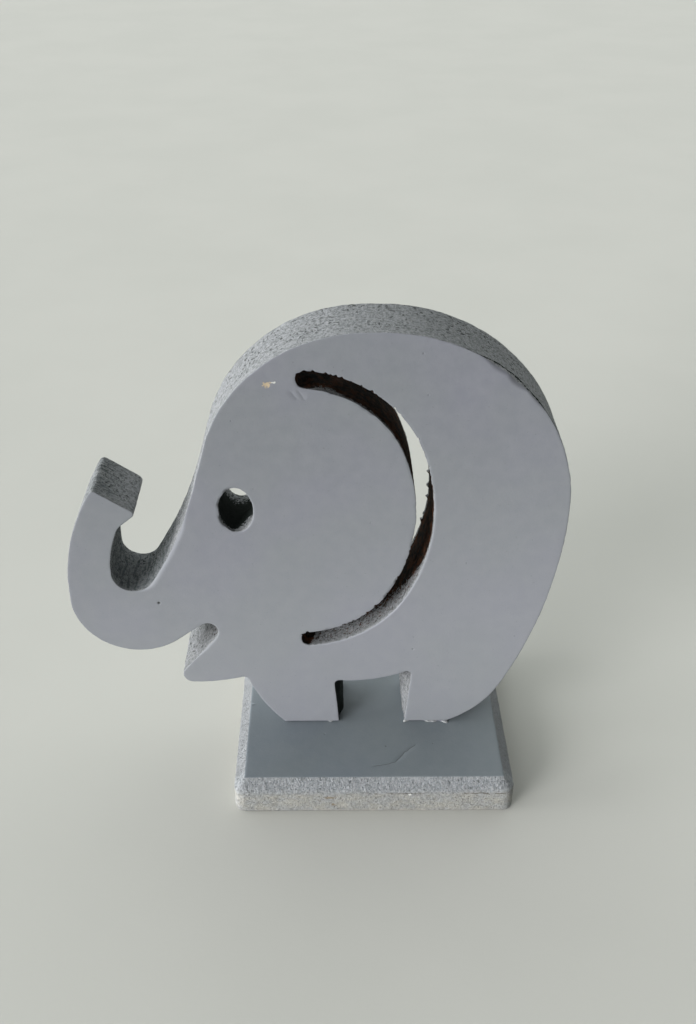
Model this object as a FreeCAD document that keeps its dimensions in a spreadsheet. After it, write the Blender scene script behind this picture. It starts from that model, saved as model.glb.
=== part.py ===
"""Elephant ornament: a fretsawn MDF elephant standing on a chamfered MDF base plate.

Frame: millimetres, +Z up, origin at the middle of the base plate's underside.
The elephant faces -X and its front face looks along -Y.  Every sub-part is drawn
with Z = 0 at its own seat and is lifted into place by its Placement.
"""
import math
import os

import FreeCAD
import Part
import Sketcher

PARTS_FOLDER = "parts"
X_AXIS = -1            # a sketch's own X axis, as a geometry number
START, END, CENTRE = 1, 2, 3
SCREW_COLUMNS = ("Dims.front_screw_x", "Dims.rear_screw_x")
NEAR = 0.1             # two points closer than this, in mm, are the same corner
LEAST_CUT = 1e-4       # a cut takes at least this share of its body
FULL_TURN = 360        # degrees
SINK_ANGLE = 90        # degrees across the countersink, as of the screw's head

# Driving dimensions: cell alias, value and what it is.
DIMENSIONS = (
    ("panel_thickness", 18.0, "elephant board"),
    ("base_width", 79.0, "base plate, along X"),
    ("base_depth", 68.0, "base plate, along Y"),
    ("base_thickness", 10.5, "base plate"),
    ("base_chamfer", 3.0, "chamfer round the top of the base plate"),
    ("base_corner", 3.2, "upright corners of the base plate, rounder than the chamfer"),
    ("glue_film", 0.3, "glue between each foot and the base plate"),
    ("glue_squeeze", 0.5, "how far the glue stands out round a foot"),
    ("soft_corner", 1.2, "small rounding of the outline's corners"),
    ("screw_length", 25.0, "countersunk wood screw"),
    ("head_diameter", 7.0, "screw head"),
    ("shank_diameter", 3.5, "plain shank under the head"),
    ("core_diameter", 2.8, "threaded end, at the diameter it holds by"),
    ("point_length", 3.0, "cone at the screw's tip"),
    ("head_recess", 0.6, "screw head above the underside of the base plate"),
    ("recess_width", 1.0, "one arm of the cross in the screw head"),
    ("recess_span", 3.8, "cross in the screw head, tip to tip"),
    ("recess_depth", 1.6, "cross in the screw head"),
    ("clearance_hole", 3.9, "screw hole through the base plate"),
    ("countersink", 8.2, "countersink at the underside"),
    ("pilot_depth", 17.0, "pilot hole up into each foot"),
    ("front_screw_x", -17.7, "screw under the front foot"),
    ("rear_screw_x", 16.0, "screw under the rear foot"),
    ("eye_x", -36.7, "eye hole"),
    ("eye_z", 75.2, "eye hole"),
    ("eye_height", 13.4, "eye hole"),
    ("eye_width", 8.8, "eye hole"),
    ("ear_x", -40.0, "centre of the middle arc of the ear slot"),
    ("ear_z", 73.0, "centre of the middle arc of the ear slot"),
    ("ear_radius", 52.7, "middle arc, to the slot's centre line"),
    ("ear_slot", 4.6, "width of the ear slot"),
    ("ear_top_radius", 32.0, "upper arc, to the slot's centre line"),
    ("ear_top_z", 80.8, "centre of the upper arc"),
    ("ear_low_radius", 29.5, "lower arc, to the slot's centre line"),
    ("ear_low_z", 61.4, "centre of the lower arc"),
    ("ear_end_x", -18.0, "round ends of the slot"),
)

# Elephant outline, clockwise from the trunk's tip, drawn above the base plate's top.
# ("line", name, held direction) or
# ("arc", name, centre x, centre z, radius, first angle, last angle, what is held).
# Angles run in the direction of travel and only start the solver off, as do the
# centres that are not held.  x, z and r stand for the centre and the radius.
OUTLINE = (
    ("line", "trunk_tip", ""),
    ("line", "tip_underside", ""),
    ("arc", "tip_bend", -63.6, 64.6, 6.0, 134, 160, "r"),
    ("arc", "hook_wall", -35.3, 54.5, 36.0, 160, 180, "zr"),
    ("arc", "hook", -65.8, 54.5, 5.5, 180, 329, "xzr"),
    ("arc", "forehead", -162.4, 116.0, 120.0, -32, -15, "zr"),
    ("line", "brow", ""),
    ("arc", "head", -3.0, 82.5, 42.5, 165, 90, "xzr"),
    ("line", "crown", "level"),
    ("arc", "back", 0.5, 75.0, 50.0, 90, 0, "xr"),
    ("arc", "rump", -89.5, 75.0, 140.0, 0, -26, "zr"),
    ("arc", "heel", 9.0, 26.0, 30.0, -26, -62, "r"),
    ("line", "rear_sole", ""),
    ("line", "rear_leg_inside", ""),
    ("arc", "belly", -7.5, 56.2, 40.0, -62, -95, "r"),
    ("line", "front_leg_inside", ""),
    ("line", "front_sole", ""),
    ("arc", "chest", 12.0, 34.0, 48.0, 222, 200, "r"),
    ("arc", "throat", -37.2, 16.2, 1.5, 18, 108, "xzr"),
    ("arc", "chin", -51.7, 66.0, 50.0, 288, 270, "r"),
    ("arc", "lip", -51.7, 18.9, 2.9, 270, 140, "xzr"),
    ("line", "lip_top", ""),
    ("arc", "mouth", -46.6, 34.6, 2.9, -40, 137, "xzr"),
    ("line", "trunk_root", ""),
    ("arc", "trunk_curl", -65.9, 45.6, 17.6, -43, -180, "xzr"),
    ("line", "trunk_side", "upright"),
    ("arc", "trunk_front", -23.5, 48.5, 60.0, 180, 147, "zr"),
)

# Sharp corners of the outline: the stretch that starts there, x and z (None: free).
# Every other joint is tangent.
CORNERS = (
    ("trunk_tip", None, 81.5),
    ("tip_underside", -62.6, 74.0),
    ("rear_sole", 22.3, "glue_film"),
    ("rear_leg_inside", 9.6, "glue_film"),
    ("belly", 11.2, 20.3),
    ("front_leg_inside", -11.0, 16.4),
    ("front_sole", -9.6, "glue_film"),
    ("chest", -25.8, "glue_film"),
)
TIP_BEND_START_Z = 70.6
SOFT_CORNERS = ("trunk_tip", "tip_underside", "belly", "front_leg_inside")


def fill_sheet(document):
    """Write every driving dimension as a plain number with an alias."""
    sheet = document.addObject("Spreadsheet::Sheet", "Dims")
    rows = list(DIMENSIONS)
    for kind, name, *values in OUTLINE:
        if kind == "arc":
            x, z, radius, _, _, held = values
            given = {"x": x, "z": z, "r": radius}
            rows += [(name + "_" + key, given[key], "outline arc") for key in held]
    for name, x, z in CORNERS:
        if x is not None:
            rows.append((name + "_from_x", x, "outline corner"))
        if not isinstance(z, str):
            rows.append((name + "_from_z", z, "outline corner"))
    rows.append(("tip_bend_from_z", TIP_BEND_START_Z, "where the bend under the tip starts"))
    for number, (alias, value, note) in enumerate(rows, start=1):
        sheet.set(f"A{number}", alias)
        sheet.set(f"B{number}", str(value))
        sheet.set(f"C{number}", note)
        sheet.setAlias(f"B{number}", alias)
    document.recompute()


def new_body(document, name, lift=None, along=None):
    """A body with its own label, lifted along Z and moved along X by expressions."""
    body = document.addObject("PartDesign::Body", name)
    body.Label = name
    if lift:
        body.setExpression("Placement.Base.z", lift)
    if along:
        body.setExpression("Placement.Base.x", along)
    return body


def new_sketch(body, name, plane):
    """A sketch on one of the body's own origin planes."""
    sketch = body.newObject("Sketcher::SketchObject", name)
    support = next(item for item in body.Origin.OriginFeatures if item.Role == plane)
    sketch.AttachmentSupport = [(support, "")]
    sketch.MapMode = "FlatFace"
    return sketch


def hold(sketch, expression, kind, *where):
    """Add one dimension to a sketch and bind it to the sheet."""
    start_value = evaluate(sketch, expression)
    index = sketch.addConstraint(Sketcher.Constraint(kind, *where, start_value))
    sketch.setExpression(f"Constraints[{index}]", expression)


def evaluate(owner, expression):
    """The number that an expression gives now."""
    value = owner.evalExpression(expression)
    return float(getattr(value, "Value", value))


def point(x, z):
    return FreeCAD.Vector(x, z, 0)


def add_arc(sketch, x, z, radius, first, last):
    """Add an arc given by its angles in degrees; return its number and its two ends."""
    low, high = sorted((math.radians(first), math.radians(last)))
    circle = Part.Circle(point(x, z), FreeCAD.Vector(0, 0, 1), radius)
    number = sketch.addGeometry(Part.ArcOfCircle(circle, low, high))
    return (number, START, END) if last > first else (number, END, START)


def arc_point(x, z, radius, angle):
    turn = math.radians(angle)
    return point(x + radius * math.cos(turn), z + radius * math.sin(turn))


def add_polygon(sketch, corners):
    """Add a closed chain of straight lines and return their numbers."""
    numbers = []
    for index, corner in enumerate(corners):
        following = corners[(index + 1) % len(corners)]
        numbers.append(sketch.addGeometry(Part.LineSegment(point(*corner), point(*following))))
    for index, number in enumerate(numbers):
        following = numbers[(index + 1) % len(numbers)]
        sketch.addConstraint(Sketcher.Constraint("Coincident", number, END, following, START))
    return numbers


def add_rectangle(sketch, half_width, half_depth):
    """A rectangle about the origin, held by expressions for its half sizes."""
    wide = evaluate(sketch, half_width)
    deep = evaluate(sketch, half_depth)
    corners = ((-wide, -deep), (wide, -deep), (wide, deep), (-wide, deep))
    lines = add_polygon(sketch, corners)
    for number in lines[0::2]:
        sketch.addConstraint(Sketcher.Constraint("Horizontal", number))
    for number in lines[1::2]:
        sketch.addConstraint(Sketcher.Constraint("Vertical", number))
    hold(sketch, half_width, "DistanceX", lines[1], START)
    hold(sketch, "-(" + half_width + ")", "DistanceX", lines[3], START)
    hold(sketch, half_depth, "DistanceY", lines[2], START)
    hold(sketch, "-(" + half_depth + ")", "DistanceY", lines[0], START)
    return lines


def draw_outline(sketch):
    """The elephant's outline: lines and arcs, tangent except at the named corners.

    Returns each stretch's number with the ends it is entered and left by."""
    sheet = sketch.Document.Dims
    ends = {}
    rough = {}
    for kind, name, *values in OUTLINE:
        if kind == "arc":
            x, z, radius, first, last, _ = values
            ends[name] = add_arc(sketch, x, z, radius, first, last)
            rough[name] = (arc_point(x, z, radius, first), arc_point(x, z, radius, last))
    corners = {}
    for name, x, z in CORNERS:
        height = getattr(sheet, z) if isinstance(z, str) else z
        corners[name] = point(rough["trunk_front"][1].x if x is None else x, height)
    names = [entry[1] for entry in OUTLINE]
    for index, (kind, name, *_) in enumerate(OUTLINE):
        if kind == "line":
            before = names[index - 1]
            after = names[(index + 1) % len(names)]
            start = corners.get(name) or rough[before][1]
            finish = corners.get(after) or rough[after][0]
            ends[name] = (sketch.addGeometry(Part.LineSegment(start, finish)), START, END)
    for index, name in enumerate(names):
        relation = "Coincident" if name in corners else "Tangent"
        join(sketch, relation, ends[names[index - 1]], ends[name])
    hold_outline(sketch, ends)
    return ends


def join(sketch, relation, before, here):
    """Join the end that one stretch is left by to the end the next is entered by."""
    sketch.addConstraint(Sketcher.Constraint(relation, before[0], before[2], here[0], here[1]))


def hold_outline(sketch, ends):
    """Bind the outline's arcs and corners to the sheet."""
    for kind, name, *values in OUTLINE:
        number = ends[name][0]
        if kind == "arc":
            for key in values[-1]:
                cell = f"Dims.{name}_{key}"
                if key == "r":
                    hold(sketch, cell, "Radius", number)
                else:
                    axis = "DistanceX" if key == "x" else "DistanceY"
                    hold(sketch, cell, axis, number, CENTRE)
        elif values[0] == "level":
            sketch.addConstraint(Sketcher.Constraint("Horizontal", number))
        elif values[0] == "upright":
            sketch.addConstraint(Sketcher.Constraint("Vertical", number))
    for name, x, z in CORNERS:
        number, start, _ = ends[name]
        if x is not None:
            hold(sketch, f"Dims.{name}_from_x", "DistanceX", number, start)
        height = z if isinstance(z, str) else name + "_from_z"
        hold(sketch, "Dims." + height, "DistanceY", number, start)
    number, start, _ = ends["tip_bend"]
    hold(sketch, "Dims.tip_bend_from_z", "DistanceY", number, start)


def draw_ear_slot(sketch):
    """The ear's crescent: three tangent arcs each side of one centre line, round ends."""
    dims = sketch.Document.Dims
    half = dims.ear_slot / 2
    radii = (dims.ear_top_radius, dims.ear_radius, dims.ear_low_radius)
    rises = (dims.ear_top_z - dims.ear_z, 0.0, dims.ear_low_z - dims.ear_z)
    reaches = [dims.ear_radius - radius for radius in radii]
    centres = [
        (dims.ear_x + math.sqrt(reach ** 2 - rise ** 2), dims.ear_z + rise)
        for reach, rise in zip(reaches, rises)
    ]
    turns = (
        math.degrees(math.acos((dims.ear_end_x - centres[0][0]) / radii[0])),
        math.degrees(math.asin(rises[0] / reaches[0])),
        math.degrees(math.asin(rises[2] / reaches[2])),
        -math.degrees(math.acos((dims.ear_end_x - centres[2][0]) / radii[2])),
    )
    outer = []
    inner = []
    for index, (centre, radius) in enumerate(zip(centres, radii)):
        first, last = turns[index], turns[index + 1]
        outer.append(add_arc(sketch, *centre, radius + half, first, last))
        inner.insert(0, add_arc(sketch, *centre, radius - half, last, first))
    top = arc_point(*centres[0], radii[0], turns[0])
    low = arc_point(*centres[2], radii[2], turns[3])
    top_cap = add_arc(sketch, top.x, top.y, half, turns[0] + 180, turns[0])
    low_cap = add_arc(sketch, low.x, low.y, half, turns[3], turns[3] - 180)
    loop = [*outer, low_cap, *inner, top_cap]
    for index, here in enumerate(loop):
        join(sketch, "Tangent", loop[index - 1], here)
    for outside, inside in zip(outer, reversed(inner)):
        same = Sketcher.Constraint("Coincident", outside[0], CENTRE, inside[0], CENTRE)
        sketch.addConstraint(same)
    upper, middle, lower = (arc[0] for arc in outer)
    hold(sketch, "Dims.ear_x", "DistanceX", middle, CENTRE)
    hold(sketch, "Dims.ear_z", "DistanceY", middle, CENTRE)
    hold(sketch, "Dims.ear_top_z", "DistanceY", upper, CENTRE)
    hold(sketch, "Dims.ear_low_z", "DistanceY", lower, CENTRE)
    hold(sketch, "Dims.ear_top_radius + Dims.ear_slot / 2", "Radius", upper)
    hold(sketch, "Dims.ear_radius + Dims.ear_slot / 2", "Radius", middle)
    hold(sketch, "Dims.ear_low_radius + Dims.ear_slot / 2", "Radius", lower)
    hold(sketch, "Dims.ear_radius - Dims.ear_slot / 2", "Radius", inner[1][0])
    hold(sketch, "Dims.ear_end_x", "DistanceX", top_cap[0], CENTRE)
    hold(sketch, "Dims.ear_end_x", "DistanceX", low_cap[0], CENTRE)


def draw_eye(sketch):
    """An upright oval held by its centre, its height and its width."""
    dims = sketch.Document.Dims
    centre = point(dims.eye_x, dims.eye_z)
    top = point(dims.eye_x, dims.eye_z + dims.eye_height / 2)
    side = point(dims.eye_x + dims.eye_width / 2, dims.eye_z)
    oval = sketch.addGeometry(Part.Ellipse(top, side, centre))
    sketch.exposeInternalGeometry(oval)
    height_line, width_line = oval + 1, oval + 2
    sketch.addConstraint(Sketcher.Constraint("Vertical", height_line))
    hold(sketch, "Dims.eye_x", "DistanceX", oval, CENTRE)
    hold(sketch, "Dims.eye_z", "DistanceY", oval, CENTRE)
    hold(sketch, "Dims.eye_height", "Distance", height_line)
    hold(sketch, "Dims.eye_width", "Distance", width_line)


def draw_circles(sketch, diameter, columns):
    """One circle for each expression in columns, centred on the sketch's X axis."""
    radius = evaluate(sketch, diameter) / 2
    for column in columns:
        centre = point(evaluate(sketch, column), 0)
        number = sketch.addGeometry(Part.Circle(centre, FreeCAD.Vector(0, 0, 1), radius))
        sketch.addConstraint(Sketcher.Constraint("PointOnObject", number, CENTRE, X_AXIS))
        hold(sketch, column, "DistanceX", number, CENTRE)
        hold(sketch, diameter, "Diameter", number)


def pad(body, name, sketch, length, both_ways=False):
    """Thicken a sketch by an expression and return the feature."""
    feature = body.newObject("PartDesign::Pad", name)
    feature.Profile = sketch
    feature.SideType = "Symmetric" if both_ways else "One side"
    feature.setExpression("Length", length)
    body.Document.recompute()
    return feature


def pocket(body, name, sketch, depth=None, upward=False):
    """Cut a sketch to a depth, or right through both ways, and make sure that it cuts."""
    volume = body.Shape.Volume
    feature = body.newObject("PartDesign::Pocket", name)
    feature.Profile = sketch
    feature.Reversed = upward
    if depth:
        feature.setExpression("Length", depth)
    else:
        feature.Type = "ThroughAll"
        feature.SideType = "Symmetric"
    body.Document.recompute()
    if body.Shape.Volume > volume * (1 - LEAST_CUT):
        raise RuntimeError(name + " cuts nothing")


def dress(body, kind, name, base, edges, cell, value):
    """Round or chamfer edges of the last feature by a value from the sheet."""
    feature = body.newObject("PartDesign::" + kind, name)
    feature.Base = (base, edges)
    feature.setExpression(cell, value)
    body.Document.recompute()
    return feature


def edge_names(shape, wanted):
    """Names of the edges for which wanted(first point, last point) holds."""
    names = []
    for number, edge in enumerate(shape.Edges, start=1):
        ends = [edge.valueAt(edge.FirstParameter), edge.valueAt(edge.LastParameter)]
        if wanted(*ends):
            names.append(f"Edge{number}")
    return names


def make_panel(document):
    """The fretsawn elephant, drawn with the base plate's top face at Z = 0."""
    body = new_body(document, "elephant_panel", lift="Dims.base_thickness")
    outline = new_sketch(body, "elephant_outline", "XZ_Plane")
    ends = draw_outline(outline)
    document.recompute()
    blank = pad(body, "panel_blank", outline, "Dims.panel_thickness", both_ways=True)
    corners = [outline.getPoint(*ends[name][:2]) for name in SOFT_CORNERS]

    def at_soft_corner(first, last):
        across = math.hypot(first.x - last.x, first.z - last.z) > NEAR
        return not across and any(
            math.hypot(first.x - corner.x, first.z - corner.y) < NEAR
            for corner in corners
        )

    edges = edge_names(blank.Shape, at_soft_corner)
    dress(body, "Fillet", "soft_corners", blank, edges, "Radius", "Dims.soft_corner")
    for name, draw in (("ear_slot", draw_ear_slot), ("eye_hole", draw_eye)):
        sketch = new_sketch(body, name + "_sketch", "XZ_Plane")
        draw(sketch)
        document.recompute()
        pocket(body, name, sketch)
    pilots = new_sketch(body, "pilot_sketch", "XY_Plane")
    draw_circles(pilots, "Dims.core_diameter", SCREW_COLUMNS)
    document.recompute()
    pocket(body, "pilot_holes", pilots, "Dims.pilot_depth", upward=True)
    return body


def make_base(document):
    """The chamfered plate, with its underside at Z = 0 and two countersunk holes."""
    body = new_body(document, "base_plate")
    plan = new_sketch(body, "base_plan", "XY_Plane")
    add_rectangle(plan, "Dims.base_width / 2", "Dims.base_depth / 2")
    document.recompute()
    blank = pad(body, "base_blank", plan, "Dims.base_thickness")
    upright = edge_names(blank.Shape, lambda first, last: abs(first.z - last.z) > NEAR)
    rounded = dress(body, "Fillet", "upright_corners", blank, upright, "Radius", "Dims.base_corner")
    top = document.Dims.base_thickness
    rim = edge_names(rounded.Shape, lambda first, last: min(first.z, last.z) > top - NEAR)
    dress(body, "Chamfer", "top_chamfer", rounded, rim, "Size", "Dims.base_chamfer")
    centres = new_sketch(body, "screw_centres", "XY_Plane")
    draw_circles(centres, "Dims.clearance_hole", SCREW_COLUMNS)
    document.recompute()
    volume = body.Shape.Volume
    holes = body.newObject("PartDesign::Hole", "screw_holes")
    holes.Profile = centres
    document.recompute()
    holes.Reversed = True
    holes.Threaded = False
    holes.DepthType = "ThroughAll"
    holes.HoleCutType = "Countersink"
    holes.HoleCutCustomValues = True
    holes.setExpression("Diameter", "Dims.clearance_hole")
    holes.setExpression("HoleCutDiameter", "Dims.countersink")
    holes.HoleCutCountersinkAngle = SINK_ANGLE
    document.recompute()
    if body.Shape.Volume > volume * (1 - LEAST_CUT):
        raise RuntimeError("screw_holes cuts nothing")
    return body


def make_screw(document, name, column):
    """A countersunk cross-head wood screw, head down, with its head face at Z = 0."""
    body = new_body(document, name, lift="Dims.head_recess", along=column)
    sketch = new_sketch(body, name + "_profile", "XZ_Plane")
    seat = "Dims.base_thickness + Dims.glue_film - Dims.head_recess"
    profile = (
        ("0", "0"),
        ("Dims.head_diameter / 2", "0"),
        ("Dims.shank_diameter / 2", "(Dims.head_diameter - Dims.shank_diameter) / 2"),
        ("Dims.shank_diameter / 2", seat),
        ("Dims.core_diameter / 2", seat),
        ("Dims.core_diameter / 2", "Dims.screw_length - Dims.point_length"),
        ("0", "Dims.screw_length"),
    )
    corners = [(evaluate(sketch, x), evaluate(sketch, z)) for x, z in profile]
    lines = add_polygon(sketch, corners)
    for line, (x, z) in zip(lines, profile):
        hold(sketch, x, "DistanceX", line, START)
        hold(sketch, z, "DistanceY", line, START)
    document.recompute()
    turned = body.newObject("PartDesign::Revolution", name + "_turned")
    turned.Profile = sketch
    turned.ReferenceAxis = (sketch, ["V_Axis"])
    turned.Angle = FULL_TURN
    document.recompute()
    long_arm, short_arm = "Dims.recess_span / 2", "Dims.recess_width / 2"
    for arm, sides in (("x", (long_arm, short_arm)), ("y", (short_arm, long_arm))):
        cross = new_sketch(body, f"{name}_cross_{arm}_sketch", "XY_Plane")
        add_rectangle(cross, *sides)
        document.recompute()
        pocket(body, f"{name}_cross_{arm}", cross, "Dims.recess_depth", upward=True)
    return body


def make_glue(document, name, toe, heel, column):
    """The glue under one foot, a thin pad with the screw's hole, its underside at Z = 0."""
    body = new_body(document, name, lift="Dims.base_thickness")
    plan = new_sketch(body, name + "_plan", "XY_Plane")
    left = f"Dims.{toe}_from_x - Dims.glue_squeeze"
    right = f"Dims.{heel}_from_x + Dims.glue_squeeze"
    deep = "Dims.panel_thickness / 2 + Dims.glue_squeeze"
    x0, x1, y1 = (evaluate(plan, text) for text in (left, right, deep))
    lines = add_polygon(plan, ((x0, -y1), (x1, -y1), (x1, y1), (x0, y1)))
    near = f"-({deep})"
    for line, x, y in zip(lines, (left, right, right, left), (near, near, deep, deep)):
        hold(plan, x, "DistanceX", line, START)
        hold(plan, y, "DistanceY", line, START)
    draw_circles(plan, "Dims.shank_diameter", (column,))
    document.recompute()
    pad(body, name + "_film", plan, "Dims.glue_film")
    return body


def check_objects(document):
    """Stop if any sketch, feature or body failed to compute."""
    for item in document.Objects:
        if {"Invalid", "Error"} & set(item.State):
            raise RuntimeError(item.Name + " failed: " + ", ".join(item.State))


def export(bodies):
    os.makedirs(PARTS_FOLDER, exist_ok=True)
    for body in bodies:
        shape = body.Shape
        if shape.isNull() or not shape.isValid() or len(shape.Solids) != 1:
            raise RuntimeError(body.Label + " is not one valid solid")
        shape.exportStep(os.path.join(PARTS_FOLDER, body.Label + ".step"))
        box = shape.BoundBox
        size = f"{box.XLength:.2f} x {box.YLength:.2f} x {box.ZLength:.2f}"
        print(f"{body.Label}: {size} mm, {shape.Volume:.0f} mm3")


def main():
    document = FreeCAD.newDocument("elephant_ornament")
    fill_sheet(document)
    bodies = [make_panel(document), make_base(document)]
    feet = (
        ("front_foot", "front_sole", "chest", SCREW_COLUMNS[0]),
        ("rear_foot", "rear_sole", "rear_leg_inside", SCREW_COLUMNS[1]),
    )
    for foot, first, second, column in feet:
        bodies.append(make_screw(document, foot + "_screw", column))
        bodies.append(make_glue(document, foot + "_glue", second, first, column))
    document.recompute()
    check_objects(document)
    export(bodies)


main()
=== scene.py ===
"""Looks of the elephant ornament: a sawn and sprayed MDF elephant on a chamfered plate.

Everything here is in the CAD model's frame.  Shapes are worked out in millimetres and
turned into metres when a mesh is made.
"""
import itertools
import math

import bpy
import numpy as np
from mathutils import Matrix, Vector
from mathutils.geometry import delaunay_2d_cdt


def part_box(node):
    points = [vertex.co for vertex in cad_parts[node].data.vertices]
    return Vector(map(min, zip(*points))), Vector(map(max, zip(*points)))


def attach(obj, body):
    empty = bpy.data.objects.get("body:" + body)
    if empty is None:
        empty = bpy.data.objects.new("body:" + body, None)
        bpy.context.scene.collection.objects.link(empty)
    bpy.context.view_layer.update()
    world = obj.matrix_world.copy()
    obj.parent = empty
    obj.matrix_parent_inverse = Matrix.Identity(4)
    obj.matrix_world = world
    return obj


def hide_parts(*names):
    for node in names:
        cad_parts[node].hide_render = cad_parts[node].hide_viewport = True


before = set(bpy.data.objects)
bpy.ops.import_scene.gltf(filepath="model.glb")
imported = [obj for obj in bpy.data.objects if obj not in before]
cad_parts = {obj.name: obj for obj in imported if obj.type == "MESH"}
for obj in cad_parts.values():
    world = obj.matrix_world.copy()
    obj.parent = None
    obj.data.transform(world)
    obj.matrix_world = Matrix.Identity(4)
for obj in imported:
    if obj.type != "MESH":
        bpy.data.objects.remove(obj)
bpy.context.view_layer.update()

MM = 0.001

# ---------------------------------------- seeded noise


def lattice(cells, seed):
    """A fixed pseudo-random number from -1 to 1 for each whole-number cell."""
    x, y, z = (cells[:, axis].astype(np.uint64) for axis in range(3))
    mixed = x * np.uint64(0x9E3779B185EBCA87)
    mixed ^= y * np.uint64(0xC2B2AE3D27D4EB4F)
    mixed ^= z * np.uint64(0x165667B19E3779F9)
    mixed ^= np.uint64(seed * 0x27D4EB2F165667C5 % 2 ** 64)
    mixed ^= mixed >> np.uint64(33)
    mixed *= np.uint64(0xFF51AFD7ED558CCD)
    mixed ^= mixed >> np.uint64(29)
    mixed *= np.uint64(0xC4CEB9FE1A85EC53)
    mixed ^= mixed >> np.uint64(32)
    return (mixed >> np.uint64(11)).astype(float) / 2 ** 52 - 1


def noise(points, size, seed):
    """Smooth noise from -1 to 1 at points (mm); size is one number or one for each axis."""
    scaled = np.asarray(points, float) / size
    base = np.floor(scaled)
    part = scaled - base
    part = part * part * (3 - 2 * part)
    base = base.astype(np.int64)
    total = np.zeros(len(scaled))
    for corner in itertools.product((0, 1), repeat=3):
        weight = np.prod(np.where(corner, part, 1 - part), axis=1)
        total += weight * lattice(base + corner, seed)
    return total


def rough(points, size, seed, octaves=3):
    """Noise with finer and fainter octaves added."""
    size = np.asarray(size, float)
    layers = [noise(points, size / 2 ** k, seed + k) / 2 ** k for k in range(octaves)]
    return sum(layers)


def ease(values, low, high):
    """0 below low, 1 above high and smooth between."""
    part = np.clip((np.asarray(values, float) - low) / (high - low), 0, 1)
    return part * part * (3 - 2 * part)


def near(flat, centre, reach):
    """1 at centre, falling smoothly to 0 at reach, for 2-D points in mm."""
    return 1 - ease(np.hypot(*(flat - np.array(centre)).T), 0, reach)


# ---------------------------------------- points and paths


def upright(flat, y):
    """3-D points from x, z pairs and y."""
    return np.stack([flat[:, 0], np.broadcast_to(y, (len(flat),)), flat[:, 1]], axis=1)


def lying(flat, z):
    """3-D points from x, y pairs and z."""
    return np.stack([flat[:, 0], flat[:, 1], np.broadcast_to(z, (len(flat),))], axis=1)


def unit(vectors):
    return vectors / np.maximum(np.linalg.norm(vectors, axis=-1, keepdims=True), 1e-12)


def cross(a, b):
    return a[..., 0] * b[..., 1] - a[..., 1] * b[..., 0]


def area(loop):
    """The area inside a closed loop of 2-D points, negative when it runs clockwise."""
    return 0.5 * float(np.sum(cross(loop, np.roll(loop, -1, axis=0))))


def distances(path):
    """How far along a path each of its points is."""
    return np.concatenate([[0], np.cumsum(np.hypot(*np.diff(path, axis=0).T))])


def points_at(path, places):
    """The points of a path at the given distances along it."""
    run = distances(path)
    return np.stack([np.interp(places, run, path[:, k]) for k in (0, 1)], axis=1)


def gap_to(points, others):
    """Distance from each 2-D point to the nearest of the others."""
    nearest = np.full(len(points), np.inf)
    for chunk in np.array_split(others, max(1, len(others) // 200)):
        apart = np.linalg.norm(points[:, None] - chunk[None], axis=2)
        nearest = np.minimum(nearest, apart.min(axis=1))
    return nearest


# ---------------------------------------- outlines

CORNER_TURN = 15.0     # degrees; a sharper turn than this is a real corner
CORNER_REACH = 3.0     # mm of outline over which a corner spreads its offset
CURVE_STEPS = 16       # points on the curve between two points of a CAD outline
SAME_LEVEL = 2e-3      # mm within which a CAD vertex lies on a flat face


def flat_outlines(node, axis, level):
    """The closed outlines, in mm, of a node's flat face, with the solid on their left."""
    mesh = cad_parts[node].data
    points = np.array([v.co for v in mesh.vertices]) / MM
    others = [k for k in (0, 1, 2) if k != axis]
    keys = [tuple(p) for p in np.round(points, 3)]
    edges = set()
    for face in mesh.polygons:
        corners = [keys[i] for i in face.vertices]
        if all(abs(c[axis] - level) < SAME_LEVEL for c in corners):
            edges |= set(zip(corners, corners[1:] + corners[:1]))
    following = {a: b for a, b in edges if (b, a) not in edges}
    loops = []
    while following:
        start = min(following)
        chain = [start]
        step = following.pop(start)
        while step != start:
            chain.append(step)
            step = following.pop(step)
        loops.append(np.array(chain)[:, others])
    loops.sort(key=lambda loop: -abs(area(loop)))
    return [loop if (area(loop) > 0) == (k == 0) else loop[::-1] for k, loop in enumerate(loops)]


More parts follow.
